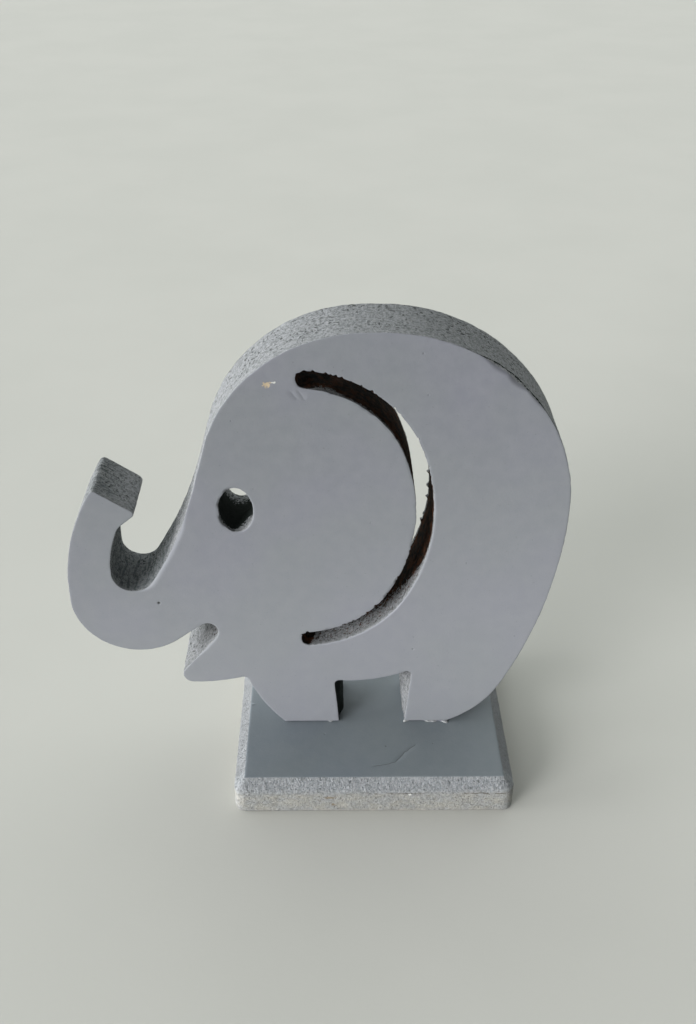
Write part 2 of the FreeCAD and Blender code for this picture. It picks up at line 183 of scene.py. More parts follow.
class Outline:
    """A closed outline resampled at even steps: points, outward normals and corners."""

    def __init__(self, loop, step):
        ahead = np.roll(loop, -1, axis=0) - loop
        behind = np.roll(ahead, 1, axis=0)
        turn = np.degrees(np.arctan2(cross(behind, ahead), np.sum(behind * ahead, axis=1)))
        sharp = np.flatnonzero(np.abs(turn) > CORNER_TURN)
        start = int(sharp[0]) if len(sharp) else 0
        loop, ahead, behind = (np.roll(item, -start, axis=0) for item in (loop, ahead, behind))
        sharp = (sharp - start) % len(loop)
        stops = [*sharp, len(loop)] if len(sharp) else [0, len(loop)]
        stretches = []
        self.corners = []
        for first, last in zip(stops[:-1], stops[1:]):
            if len(sharp):
                self.corners.append(sum(len(stretch) for stretch in stretches))
            fine = curve(loop, ahead, unit(ahead + behind), sharp, range(first, last))
            length = distances(fine)[-1]
            count = max(2, round(length / step))
            stretches.append(points_at(fine, np.linspace(0, length, count, endpoint=False)))
        self.points = np.concatenate(stretches)
        gap = np.roll(self.points, -1, axis=0) - self.points
        self.steps = np.hypot(*gap.T)
        self.tangents = unit(unit(gap) + unit(np.roll(gap, 1, axis=0)))
        self.normals = np.stack([self.tangents[:, 1], -self.tangents[:, 0]], axis=1)
        self.miter = np.ones(len(self.points))
        self.slide = np.zeros(len(self.points))
        self.spread_corners(unit(gap))

    def spread_corners(self, directions):
        """Let an offset near a sharp corner slide along the outline, so that rings keep order."""
        along = np.concatenate([[0], np.cumsum(self.steps)])
        total = along[-1]
        normals = np.stack([directions[:, 1], -directions[:, 0]], axis=1)
        for corner in self.corners:
            before, after = directions[corner - 1], directions[corner]
            half = 0.5 * math.atan2(float(cross(before, after)), float(before @ after))
            apart = along[:-1] - along[corner]
            apart = (apart + total / 2) % total - total / 2
            share = np.clip(1 - np.abs(apart) / CORNER_REACH, 0, None)
            self.slide += np.where(np.abs(apart) > 1e-9, np.sign(apart) * share * math.tan(half), 0)
            self.miter[corner] = 1 / math.cos(half)
        for corner in self.corners:
            near_after = (corner + 1) % len(self.points)
            self.normals[near_after] = normals[near_after]
            self.tangents[near_after] = directions[near_after]

    def inset(self, depth):
        """The outline moved into the solid by depth (mm, one number or one for each point)."""
        depth = np.broadcast_to(np.asarray(depth, float), (len(self.points),))[:, None]
        straight = self.normals * self.miter[:, None]
        return self.points - straight * depth + self.tangents * self.slide[:, None] * depth


def curve(loop, ahead, tangents, sharp, sides):
    """A fine curve along some sides of a loop, smooth at its points and straight at corners."""
    t = np.linspace(0, 1, CURVE_STEPS, endpoint=False)[:, None]
    parts = []
    for k in sides:
        after = (k + 1) % len(loop)
        length = np.hypot(*ahead[k])
        leave = unit(ahead[k]) if k in sharp else tangents[k]
        arrive = unit(ahead[k]) if after in sharp else tangents[after]
        parts.append(
            loop[k] * (2 * t ** 3 - 3 * t ** 2 + 1)
            + leave * length * (t ** 3 - 2 * t ** 2 + t)
            + loop[after] * (3 * t ** 2 - 2 * t ** 3)
            + arrive * length * (t ** 3 - t ** 2)
        )
    parts.append(loop[sides.stop % len(loop)][None])
    return np.concatenate(parts)


# ---------------------------------------- meshes


class Skin:
    """Vertices (mm), faces, material numbers and one number a vertex, before they are a mesh."""

    def __init__(self):
        self.points, self.faces, self.kinds, self.bare = [], [], [], []
        self.count = 0

    def add(self, points, bare=0.0):
        """Add vertices and give back their numbers."""
        first = self.count
        self.points.append(points)
        self.bare.append(np.broadcast_to(np.asarray(bare, float), (len(points),)))
        self.count += len(points)
        return np.arange(first, self.count)

    def strip(self, before, after, kind):
        """Quads between two closed rings."""
        a, b = before, np.roll(before, -1)
        c, d = np.roll(after, -1), after
        self.faces += np.stack([a, b, c, d], axis=1).tolist()
        self.kinds += [kind] * len(before)

    def cover(self, rings, inner, triangles, kind, flip=False):
        """Triangles from fill over a face with these border rings and inner vertices."""
        corners = np.concatenate([*rings, inner])[triangles]
        self.faces += (corners[:, ::-1] if flip else corners).tolist()
        self.kinds += [kind] * len(corners)

    def build(self, name, materials, slot, *replaced):
        mesh = bpy.data.meshes.new(name)
        points = np.concatenate(self.points) * MM
        mesh.from_pydata(points.tolist(), [], self.faces)
        mesh.polygons.foreach_set("material_index", self.kinds)
        mesh.polygons.foreach_set("use_smooth", [True] * len(self.faces))
        # bare: how much raw board shows; it also carries painted shade, the pale coat's painted light,
        # dark marks and the glue's pale lumps.
        bare = mesh.attributes.new("bare", "FLOAT", "POINT")
        bare.data.foreach_set("value", np.concatenate(self.bare).astype(np.float32))
        mesh.validate()
        mesh.update()
        piece = bpy.data.objects.new(name, mesh)
        bpy.context.scene.collection.objects.link(piece)
        for material in materials:
            mesh.materials.append(material)
        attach(piece, "root")
        if replaced:
            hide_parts(*replaced)
        return piece


def inside(points, rings):
    """Which 2-D points lie inside the first ring and outside the rest, by crossings."""
    odd = np.zeros(len(points), bool)
    for ring in rings:
        after = np.roll(ring, -1, axis=0)
        for (x0, y0), (x1, y1) in zip(ring, after):
            if y0 != y1:
                level = (points[:, 1] >= min(y0, y1)) & (points[:, 1] < max(y0, y1))
                odd ^= level & (points[:, 0] < x0 + (points[:, 1] - y0) * (x1 - x0) / (y1 - y0))
    return odd


def fill(rings, pitch, extra=()):
    """New points inside closed rings, extra ones among them, and triangles over the area.

    The triangles count the rings' own points first and the new points after them."""
    border = np.concatenate(rings)
    low, high = border.min(axis=0), border.max(axis=0)
    rise = pitch * math.sqrt(3) / 2
    rows = []
    for number, z in enumerate(np.arange(low[1], high[1], rise)):
        x = np.arange(low[0] + (number % 2) * pitch / 2, high[0], pitch)
        rows.append(np.stack([x, np.full_like(x, z)], axis=1))
    grid = np.concatenate(rows)
    grid = grid[inside(grid, rings)]
    keep = gap_to(grid, border) > 0.6 * pitch
    if len(extra):
        keep &= gap_to(grid, np.array(extra)) > 0.5 * pitch
    fresh = np.concatenate([np.reshape(extra, (-1, 2)), grid[keep]])
    points = np.concatenate([border, fresh])
    edges = []
    first = 0
    for ring in rings:
        numbers = np.arange(first, first + len(ring))
        edges += list(zip(numbers.tolist(), np.roll(numbers, -1).tolist()))
        first += len(ring)
    made = delaunay_2d_cdt([Vector(p) for p in points], edges, [], 0, 1e-5, True)
    source = np.array([ids[0] for ids in made[3]])
    triangles = source[np.array(made[2])]
    middle = points[triangles].mean(axis=1)
    return fresh, triangles[inside(middle, rings)]


# ---------------------------------------- pits, scratches and cracks

LINE_PITCH = 0.25      # mm between points along a scratch or crack
LINE_SIDE = 0.15       # mm from the line to the points beside it


def pit_points(pits):
    """Rings of points round each pit, so that the mesh can hold its shape."""
    points = []
    for x, z, radius, _ in pits:
        points.append((x, z))
        for share, count in ((0.5, 6), (1.0, 10), (1.5, 12)):
            for k in range(count):
                turn = 2 * math.pi * (k + share) / count
                points.append((x + share * radius * math.cos(turn), z + share * radius * math.sin(turn)))
    return points


def pit_depth(flat, pits):
    depth = np.zeros(len(flat))
    for x, z, radius, deep in pits:
        depth = np.maximum(depth, deep * near(flat, (x, z), radius))
    return depth


def wandering(path):
    """Points along a scratch or crack that doesn't run quite straight."""
    path = np.array(path, float)
    line = points_at(path, np.arange(0, distances(path)[-1], LINE_PITCH))
    return line + 0.12 * np.stack([noise(upright(line, k), 0.9, 95 + k) for k in (0, 1)], axis=1)


def line_points(path):
    """Points along a scratch or crack and beside it, so that the mesh can hold its shape."""
    line = wandering(path)
    ahead = unit(np.gradient(line, axis=0))
    aside = LINE_SIDE * np.stack([-ahead[:, 1], ahead[:, 0]], axis=1)
    return [tuple(p) for p in np.concatenate([line, line + aside, line - aside])]


def near_line(flat, path, reach):
    """1 on a scratch or crack, falling smoothly to 0 at reach."""
    return 1 - ease(gap_to(flat, wandering(path)), 0, reach)


# ---------------------------------------- elephant

STEP = 0.5                             # mm between points along the sawn edges
HOLE_STEP = 0.7 * STEP                 # the same round the eye and the ear slot
FACE_PITCH = 1.3                       # mm between points on the flat faces
ARRIS_ANGLES = (0, 22, 45, 68, 90)     # degrees round a worn arris at which it has a row
PAINTED_ROWS = 4                       # front rows of the edge that have the face's paint
FIBRE = (1.7, 1.1, 1.7)                # mm, the coarsest relief of the sawn edge
FACET_RISE = 1.05                      # depth of the facet for each mm of its inset

# Places in the board's plane are x, z in mm.
HOOK = (-55.0, 70.0)                   # middle of the hook that the trunk makes
MOUTH = (-49.0, 42.0)                  # inner end of the mouth notch
MOUTH_BROWN = (-46.5, 46.0)            # brown patch just above it
TIP_CORNER = (-63.6, 83.5)             # corner of the trunk's tip that is worn at the back
EYE_SIDE = -30.0                       # the eye is left of this x and the ear slot right of it
EYE_SPRAYED = (-34.0, 80.4)            # upper right of the eye, which the spray reached
SLOT_ENDS = ((-18.2, 123.2), (-18.4, 42.5))     # middles of the slot's round ends
SLOT_SPRAYED = (-13.0, 119.0)          # stretch of the slot that the spray reached
LEG_GAP_SIDE = 12.0                    # the leg gap lies within this x on either side of 0
LEG_GAP_TOP = 27.0
LEG_GAP_CORNER = (9.6, 26.5)           # upper right corner of the leg gap
SOLE = 11.5                            # just above the feet's soles
UP_LEFT = np.array((-0.8, 0.6))        # direction of the arrises that are worn most

# The facet at the upper right: x, z, reach and inset in mm.
FACET = ((33.5, 122.8, 5.8, 1.15), (29.0, 126.2, 6.2, 0.95), (38.0, 118.2, 6.0, 0.4))
# Where the outer edge's coat is thin: x, z, reach in mm and how thin.
THIN_COAT = ((-60.5, 90.0, 4.0, 0.30), (-71.5, 93.0, 4.0, 0.20), (-66.0, 72.0, 14.0, 0.34))
# Scratches in the front face as x, z points; pits and chips as x, z, radius and depth, in mm.
SCRATCHES = (((-20.0, 120.6), (-19.2, 119.6), (-18.5, 118.0)), ((-21.0, 119.4), (-20.1, 117.9)))
TAN_CHIP = (-27.2, 121.8, 1.0, 0.10)
FRONT_PITS = (
    (-59.3, 55.3, 0.55, 0.45), (-36.5, 112.0, 0.30, 0.12), (11.3, 42.9, 0.32, 0.12),
    (11.2, 38.5, 0.42, 0.16), (-1.4, 81.6, 0.30, 0.10), (24.6, 68.5, 0.32, 0.12),
    (39.8, 43.1, 0.35, 0.12), (10.4, 130.1, 0.34, 0.14), (12.1, 119.0, 0.34, 0.12),
    (-31.8, 92.2, 0.3, 0.12),
)


def elephant():
    node = "elephant_panel"
    low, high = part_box(node)
    front, back = low.y / MM, high.y / MM
    loops = flat_outlines(node, 1, front)
    outlines = [Outline(loops[0], STEP)] + [Outline(loop, HOLE_STEP) for loop in loops[1:]]
    skin = Skin()
    walls = [wall(skin, outline, front, back, k > 0) for k, outline in enumerate(outlines)]
    fronts, backs, rims = zip(*walls)
    pits = (TAN_CHIP, *FRONT_PITS)
    marks = pit_points(pits) + [point for path in SCRATCHES for point in line_points(path)]
    inner, triangles = fill(rims, FACE_PITCH, marks)
    sunk = front + pit_depth(inner, pits) + 0.02 * rough(upright(inner, 0.0), 14.0, 51)
    marked = 4 * pit_depth(inner, FRONT_PITS)
    for path in SCRATCHES:
        sunk = sunk + 0.06 * near_line(inner, path, 0.14)
        marked = np.maximum(marked, 0.25 * near_line(inner, path, 0.12))
    face = skin.add(upright(inner, sunk), np.clip(marked, 0, 1))
    skin.cover(fronts, face, triangles, 0)
    face = skin.add(upright(inner, back + 0.02 * rough(upright(inner, back), 14.0, 61)))
    skin.cover(backs, face, triangles, 0, flip=True)
    return skin


class Wear:
    """What is worn or broken off one sawn edge, in mm for each point of its outline.

    front and back are the radii of the arrises, rim is where the flat faces begin, facet is the
    flattened arris, bites are crumbled out of the front arris and splinters stand at the back."""

    def __init__(self, outline, pierced):
        flat, normals = outline.points, outline.normals
        flat3 = upright(flat, 0.0)
        worn = 0.22 + 0.05 * rough(flat3, 3.0, 11) + 0.03 * noise(flat3, 0.8, 17)
        up_left = np.clip(normals @ UP_LEFT, 0, 1)
        self.facet = self.bites = self.splinters = np.zeros(len(flat))
        if pierced:
            self.front = 0.6 * worn + 0.5 * up_left * (1 - ease(flat[:, 1], 85.0, 100.0))
            self.back = 0.6 * worn
            self.rim = np.full(len(flat), 0.9)
            is_eye = flat[0, 0] < EYE_SIDE
            overhang = 0.18 if is_eye else 0.12 + 0.88 * ease(-normals[:, 1], -0.1, 0.5)
            self.bites = 0.42 * ease(noise(flat3, 0.62, 43), 0.2, 0.7) * overhang
            right_side = 0.2 + 0.8 * ease(-normals[:, 0], 0.2, 0.8)
            self.splinters = 0.65 * ease(noise(flat3, 0.62, 47), 0.3, 0.75) * right_side
        else:
            spots = [inset * near(flat, (x, z), reach) for x, z, reach, inset in FACET]
            self.facet = np.maximum.reduce(spots)
            hook = ease(near(flat, HOOK, 19.0), 0.0, 0.5)
            mouth = 0.9 * near(flat, MOUTH, 9.0)
            self.front = worn + up_left * np.maximum(1.25 * hook, mouth)
            self.back = worn + 0.05 + 1.1 * near(flat, TIP_CORNER, 3.0)
            self.rim = 0.75 + 1.1 * self.facet + up_left * np.maximum(1.3 * hook, mouth)

    def profile(self, front, back):
        """Rows of the edge from the front face to the back one: inset, y and how rough."""
        rows = [(self.rim, np.full_like(self.rim, front), 0.0)]
        for angle in ARRIS_ANGLES:
            turn = math.radians(angle)
            passed = angle / 90
            inset = self.front * (1 - math.sin(turn)) + self.facet * (1 - passed) + self.bites
            y = front + self.front * (1 - math.cos(turn)) + FACET_RISE * self.facet * passed
            rows.append((inset, y, math.sin(turn)))
        start = rows[-1][1]
        count = round((back - front) / STEP) - 2
        for k in range(1, count):
            y = start + k / count * (back - self.back - start)
            rows.append((self.bites * ease(2.2 + front - y, 0.0, 2.2), y, 1.0))
        for angle in reversed(ARRIS_ANGLES):
            turn = math.radians(angle)
            inset = self.back * (1 - math.sin(turn))
            rows.append((inset, back - self.back * (1 - math.cos(turn)), math.sin(turn)))
        rows.append((self.rim, np.full_like(self.rim, back), 0.0))
        return rows


def wall(skin, outline, front, back, pierced):
    """The sawn edge along one outline, with its two worn arrises.

    It gives back the first ring's and the last ring's numbers and the flat faces' border."""
    flat, normals = outline.points, outline.normals
    thickness = back - front
    wear = Wear(outline, pierced)
    lean = 0.0 if pierced else leg_gap_lean(flat, normals)
    fibres = 0.10 if pierced else 0.07
    rings = []
    for inset, y, weight in wear.profile(front, back):
        ring = upright(outline.inset(inset), y)
        depth = y - front
        relief = fibres * rough(ring, FIBRE, 31) + 0.07 * noise(ring, (7, 30, 7), 37)
        relief += wear.splinters * ease(depth, thickness - 2.0, thickness - 0.5)
        relief += lean * ease(depth, 0.5, 5.0)
        push = weight * (relief - 0.05)
        ring[:, 0] += normals[:, 0] * push
        ring[:, 2] += normals[:, 1] * push
        if pierced:
            bare = bare_in_hole(flat, depth, thickness)
        else:
            bare = outer_bare_shade_and_pale(flat, depth, normals)
        crumbled = 1.5 * wear.bites * ease(2.5 - depth, 0.0, 1.5)
        bare = np.maximum.reduce([bare, crumbled, arris_shade_line(flat, depth, wear)])
        rings.append(skin.add(ring, bare * min(1.0, weight * 1.5)))
        if len(rings) > 1:
            skin.strip(rings[-1], rings[-2], 0 if len(rings) <= PAINTED_ROWS else 1)
    return rings[0], rings[-1], outline.inset(wear.rim)


def in_leg_gap(flat, normals):
    """Which points are on the facing walls of the legs, or on others as near to the middle."""
    return (np.abs(normals[:, 0]) > 0.6) & (np.abs(flat[:, 0]) < LEG_GAP_SIDE)


def leg_gap_lean(flat, normals):
    """How far in the gap's walls come at the back: the saw leaned over between the legs."""
    z = flat[:, 1]
    walls = in_leg_gap(flat, normals) & (z > SOLE) & (z < LEG_GAP_TOP)
    wavy = 1.0 + 0.35 * noise(upright(flat, 0.0), 3.0, 53)
    lean = walls * wavy * np.where(normals[:, 0] > 0, 1.1, 0.5 + 1.2 * ease(z, 9.0, 22.0))
    return lean * ease(LEG_GAP_TOP - z, 0.0, 2.0)


def arris_shade_line(flat, depth, wear):
    """A narrow dark line of painted shade just behind the front arris at the upper right."""
    shaded = ease(flat[:, 0], 18.0, 28.0) * ease(flat[:, 1], 50.0, 90.0)
    shaded = shaded * (0.8 + 0.3 * noise(upright(flat, 0.0), 5.0, 59))
    past = depth - wear.front - FACET_RISE * wear.facet
    return 1.3 * shaded * ease(past, -0.3, -0.05) * (1 - ease(past, 0.15, 0.5))


def outer_bare_shade_and_pale(flat, depth, normals):
    """How much raw board shows on the outer edge, with painted shade as raw board on the front leg's
    wall; below 0 the coat is pale instead, partly as painted light.
    """
    x, z = flat.T
    bare = sum(thin * near(flat, place, reach) for *place, reach, thin in THIN_COAT)
    bare += 0.55 * near(flat, MOUTH_BROWN, 6.5) * ease(depth, 0.5, 3.0)
    bare += 0.26 * ease(near(flat, HOOK, 16.0), 0.0, 0.4) * ease(depth, 5.0, 12.0)
    walls = in_leg_gap(flat, normals) & (z < LEG_GAP_TOP + 1.0)
    # Painted shade: the front leg's wall that faces the gap is dark raw board all over.
    bare += np.where(walls & (x < 0), 1.7, 0.0)
    # The rear leg's wall that faces the gap has a pale coat, made lighter as painted light, with raw
    # board near the gap's upper right corner.
    bare += np.where(walls & (x > 0), -0.35 + 0.45 * near(flat, LEG_GAP_CORNER, 3.5), 0.0)
    return np.clip(bare, -0.4, 1.7)


def bare_in_hole(flat, depth, thickness):
    """How much raw board shows in the eye and the ear slot, behind the paint that reached in."""
    x, z = flat.T
    lower = 1 - ease(z, 50.0, 72.0)
    sprayed = 1.0 + 8.2 * lower + 8.0 * ease(-x, 3.0, 16.0) * lower
    sprayed += 2.6 * near(flat, SLOT_SPRAYED, 5.5)
    for end in SLOT_ENDS:
        sprayed = sprayed * (1 - np.clip(2 * near(flat, end, 4.6), 0, 1))
    sprayed = np.maximum(sprayed, 5.0 * near(flat, EYE_SPRAYED, 5.0))
    from_front = ease(depth, sprayed * 0.35, sprayed * 1.35 + 0.8)
    from_back = ease(thickness - depth, 0.4, np.where(x < EYE_SIDE, 8.0, 2.5))
    speckles = 0.16 * ease(depth, 0.6, 2.0)
    return np.maximum(1.7 * from_front * from_back, speckles)


# ---------------------------------------- base plate

TOP_PITCH = 1.3        # mm between points on the plate's top
HIDDEN_PITCH = 2.0     # the same on its underside and on the glue
# The crack in the top as x, y points; pits as x, y, radius and depth, in mm.
CRACK = ((0.3, -26.9), (3.0, -26.5), (6.1, -25.4), (7.6, -23.8), (9.2, -21.5), (12.2, -18.7))
BASE_PITS = ((3.8, -19.1, 0.35, 0.15), (17.5, -18.0, 0.3, 0.12), (-14.0, -14.0, 0.3, 0.1))


def base():
    node = "base_plate"
    _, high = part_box(node)
    top = high.z / MM
    border, *holes = [Outline(loop, STEP) for loop in flat_outlines(node, 2, 0.0)]
    above = flat_outlines(node, 2, top)
    chamfer = high.x / MM - above[0][:, 0].max()
    half = np.array((high.x, high.y)) / MM
    throat = 0.5 * (np.ptp(holes[0].points[:, 0]) - np.ptp(above[1][:, 0]))
    skin = Skin()
    edges = [plate_border(skin, border, half, top, chamfer)]
    edges += [screw_hole(skin, hole, throat, top) for hole in holes]
    lower, lower_flat, upper, upper_flat = zip(*edges)
    inner, triangles = fill(lower_flat, HIDDEN_PITCH)
    z = 0.02 + 0.02 * rough(lying(inner, 0.0), 6.0, 91)
    skin.cover(lower, skin.add(lying(inner, z)), triangles, 2, flip=True)
    inner, triangles = fill(upper_flat, TOP_PITCH, pit_points(BASE_PITS) + line_points(CRACK))
    pits = pit_depth(inner, BASE_PITS)
    crack = near_line(inner, CRACK, 0.14)
    z = top + 0.008 * rough(lying(inner, 0.0), 12.0, 93) - pits - 0.04 * crack
    face = skin.add(lying(inner, z), np.maximum(0.9 * crack, 7 * pits))
    skin.cover(upper, face, triangles, 0)
    return skin


def border_profile(top, chamfer):
    """The plate's cross-section from the underside to the top: inset, height and how rough."""
    side = top - chamfer
    rows = [(1.4, 0.0, 0.0), (0.45, 0.0, 0.0), (0.2, 0.05, 0.2), (0.05, 0.2, 0.6), (0.0, 0.45, 1.0)]
    rows += [(0.0, z, 1.0) for z in np.arange(0.85, side - 0.25, 0.42)]
    rows += [(0.03, side - 0.12, 0.9), (0.14, side + 0.12, 0.9)]
    rows += [(rise, side + rise, 1.0) for rise in np.arange(0.5, chamfer - 0.35, 0.4)]
    rows += [(chamfer - 0.16, top - 0.19, 0.6), (chamfer, top - 0.06, 0.3)]
    rows += [(chamfer + 0.18, top, 0.0), (chamfer + 0.7, top, 0.0)]
    return rows


def plate_border(skin, border, half, top, chamfer):
    """The plate's fibrous sides and chamfers.

    It gives back the numbers and points of the underside's ring and of the top's."""
    side = top - chamfer
    tightest = chamfer + 0.1
    rings, flats = [], []
    for inset, z, weight in border_profile(top, chamfer):
        # Past the corners' radius the whole ring shrinks instead of moving in.
        rest = max(0.0, inset - tightest)
        flat = border.inset(min(inset, tightest)) * (1 - rest / (half - tightest))
        ring = lying(flat, z)
        on_chamfer = ease(z, side - 0.1, side + 0.5)
        fibres = rough(ring, (0.9, 0.9, 0.5), 71) * (1 - on_chamfer)
        fibres += rough(ring, (0.55, 0.55, 2.2), 73) * on_chamfer
        push = weight * (0.09 * fibres + 0.08 * noise(ring, 9.0, 79) - 0.05)
        tilt = math.radians(45) * on_chamfer
        ring[:, :2] += border.normals * (push * math.cos(tilt))[:, None]
        ring[:, 2] += push * math.sin(tilt)
        rings.append(skin.add(ring))
        flats.append(flat)
        if len(rings) > 1:
            skin.strip(rings[-2], rings[-1], 1 if 0.0 < z < top - 0.03 or weight > 0 else 0)
    return rings[0], flats[0], rings[-1], flats[-1]


def screw_hole(skin, hole, throat, top):
    """A countersunk hole through the plate, which gives back what plate_border does."""
    rows = [(0.6, 0.0), (0.12, 0.0), (-0.05, 0.1), (-0.5, 0.55), (-1.2, 1.25)]
    rows += [(-throat, throat), (-throat, 5.0), (-throat, top)]
    flats = [hole.inset(inset) for inset, _ in rows]
    rings = [skin.add(lying(flat, z), 0.9) for flat, (_, z) in zip(flats, rows)]
    for before, after in zip(rings, rings[1:]):
        skin.strip(before, after, 1)
    return rings[0], flats[0], rings[-1], flats[-1]


# ---------------------------------------- glue under the feet

SPREAD = 0.5           # mm that the CAD's glue stands out round the foot
GLUE_STEP = 0.3        # mm between points round the bead
# Glue pressed out round each foot, in mm: how far and how high it stands, lumps of it as x, y
# and how much further and higher, and gaps in it as x, y.
BEADS = {
    "front_foot_glue": (-0.6, 0.2, ((-12.2, -9.0, 0.75, 0.15),), ()),
    "rear_foot_glue": (-0.15, 0.2, (
        (10.0, -9.0, 0.45, 0.35), (16.6, -9.0, 0.5, 0.15), (18.3, -9.0, 0.6, 0.2),
        (21.6, -9.2, 1.1, 0.2),
    ), ((13.3, -9.0),)),
}
GAP_HALF = 3.6         # mm from the middle of a gap to its end
LUMP_HALF = 1.5        # mm from the middle of a lump to its end


def bead_shape(node, flat, thickness):
    """How far and how high the glue stands round a foot, and where it is pale."""
    reach, height, lumps, gaps = BEADS[node]
    out = reach + 0.1 * rough(lying(flat, 0.0), 2.2, 101)
    tall = height + 0.4 * height * rough(lying(flat, 0.0), 2.6, 107)
    pale = np.zeros(len(flat))
    for *place, further, higher in lumps:
        share = near(flat, place, LUMP_HALF)
        pale = np.maximum(pale, share)
        out = out + share * further
        tall = tall + share * higher
    for place in gaps:
        share = near(flat, place, GAP_HALF)
        out = out * (1 - share) - 0.7 * share
        tall = tall * (1 - share) + thickness * share
    return out, tall, pale


def glue_bead(node, material):
    """The glue pad with the uneven bead that was pressed out round the foot."""
    low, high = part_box(node)
    x0, x1 = low.x / MM + SPREAD, high.x / MM - SPREAD
    y0, y1 = low.y / MM + SPREAD, high.y / MM - SPREAD
    z0, z1 = low.z / MM, high.z / MM
    outline = Outline(np.array([(x0, y0), (x1, y0), (x1, y1), (x0, y1)]), GLUE_STEP)
    out, tall, pale = bead_shape(node, outline.points, z1 - z0)
    skin = Skin()
    below, above = outline.inset(1.2), outline.inset(0.9)
    rings = [skin.add(lying(below, z0), pale)]
    for angle in (0, 20, 40, 60, 80):
        turn = math.radians(angle)
        z = z0 + np.maximum(tall, z1 - z0) * math.sin(turn)
        rings.append(skin.add(lying(outline.inset(-out * math.cos(turn)), z), pale))
    rings.append(skin.add(lying(above, z1)))
    for before, after in zip(rings, rings[1:]):
        skin.strip(before, after, 0)
    for ring, flat, z, flip in ((rings[-1], above, z1, False), (rings[0], below, z0, True)):
        inner, triangles = fill([flat], HIDDEN_PITCH)
        skin.cover([ring], skin.add(lying(inner, z)), triangles, 0, flip)
    return skin.build(node + "_bead", [material], "wood_glue", node)


# ---------------------------------------- materials


class Look:
    """A procedural material while its nodes are put together."""

    def __init__(self, name, roughness):
        self.material = bpy.data.materials.new(name)
        self.material.use_nodes = True
        self.tree = self.material.node_tree
        self.shader = self.tree.nodes["Principled BSDF"]
        self.shader.inputs["Roughness"].default_value = roughness
        self.coords = self.tree.nodes.new("ShaderNodeTexCoord").outputs["Object"]

    def node(self, kind, outlet, sockets, **settings):
        made = self.tree.nodes.new(kind)
        for key, value in settings.items():
            setattr(made, key, value)
        for key, value in sockets.items():
            self.put(made.inputs[key], value)
        return made.outputs[outlet]

    def put(self, socket, value):
        if isinstance(value, bpy.types.NodeSocket):
            self.tree.links.new(value, socket)
        else:
            socket.default_value = value

    def axes(self):
        """The object's x, y and z in metres."""
        parts = self.node("ShaderNodeSeparateXYZ", "X", {0: self.coords}).node
        return [parts.outputs[axis] for axis in "XYZ"]

    def place(self, *size):
        """Object coordinates divided by a size in mm along each axis."""
        scale = tuple(1 / (MM * s) for s in (size if len(size) == 3 else size * 3))
        return self.node("ShaderNodeVectorMath", 0, {0: self.coords, 1: scale}, operation="MULTIPLY")

    def noise(self, where, detail=3.0, rough=0.55, distortion=0.0):
        sockets = {"Vector": where, "Scale": 1.0, "Detail": detail, "Roughness": rough,
                   "Distortion": distortion}
        return self.node("ShaderNodeTexNoise", 0, sockets)

    def ramp(self, value, low, high, to_low=0.0, to_high=1.0):
        sockets = {"Value": value, "From Min": low, "From Max": high, "To Min": to_low,
                   "To Max": to_high}
        return self.node("ShaderNodeMapRange", 0, sockets, interpolation_type="SMOOTHSTEP")

    def maths(self, operation, a, b=0.0):
        return self.node("ShaderNodeMath", 0, {0: a, 1: b}, operation=operation)

    def times(self, a, b):
        return self.maths("MULTIPLY", a, b)

    def plus(self, a, b):
        return self.maths("ADD", a, b)

    def minus(self, a, b):
        return self.maths("SUBTRACT", a, b)

    def mix(self, factor, a, b):
        """Colour a, with b over it where factor is 1."""
        made = self.tree.nodes.new("ShaderNodeMix")
        made.data_type = "RGBA"
        for socket, value in ((made.inputs[0], factor), (made.inputs[6], a), (made.inputs[7], b)):
            if isinstance(value, tuple):
                value = (*value, 1.0)
            self.put(socket, value)
        return made.outputs[2]

    def attribute(self, name):
        return self.node("ShaderNodeAttribute", "Fac", {}, attribute_name=name)

    def spot(self, centre, size, ragged):
        """1 inside an uneven blob about centre (mm) with half sizes (mm), else 0."""
        scale = tuple(1 / (MM * s) for s in size)
        moved = self.node("ShaderNodeVectorMath", 0,
                          {0: self.coords, 1: tuple(c * MM for c in centre)}, operation="SUBTRACT")
        scaled = self.node("ShaderNodeVectorMath", 0, {0: moved, 1: scale}, operation="MULTIPLY")
        length = self.node("ShaderNodeVectorMath", "Value", {0: scaled}, operation="LENGTH")
        wobble = self.times(self.noise(self.place(0.4), 2.0), ragged * 3)
        low = 0.8 + 1.5 * ragged
        return self.ramp(self.plus(length, wobble), low, low + 0.25, 1.0, 0.0)

    def finish(self, colour, height, depth_mm, roughness=None):
        self.put(self.shader.inputs["Base Color"], colour)
        if roughness is not None:
            self.put(self.shader.inputs["Roughness"], roughness)
        bump = self.node("ShaderNodeBump", 0, {"Height": height, "Distance": depth_mm * MM,
                                               "Strength": 1.0})
        self.put(self.shader.inputs["Normal"], bump)
        return self.material


# Paint on the faces.
PAINT = (0.177, 0.182, 0.214)
PAINT_GREEN = (0.174, 0.184, 0.203)
PLATE = (0.173, 0.200, 0.227)
PLATE_GREEN = (0.176, 0.202, 0.221)
# A lighter tone for the faces' lower right: painted light.
PAINTED_LIGHT_TONE = (0.42, 0.433, 0.462)
PAINT_DARK = (0.075, 0.087, 0.089)
DUST = (0.42, 0.425, 0.42)
CHIP = (0.52, 0.40, 0.24)
CHIP_FLECK = (0.62, 0.62, 0.58)
# Paint on the sawn edges.
EDGE = (0.352, 0.368, 0.390)
EDGE_LIGHT = (0.268, 0.274, 0.288)
# Dark grey-green for the hook and the tip: partly a thin coat, partly painted shade.
EDGE_THIN_AND_SHADE = (0.032, 0.044, 0.046)
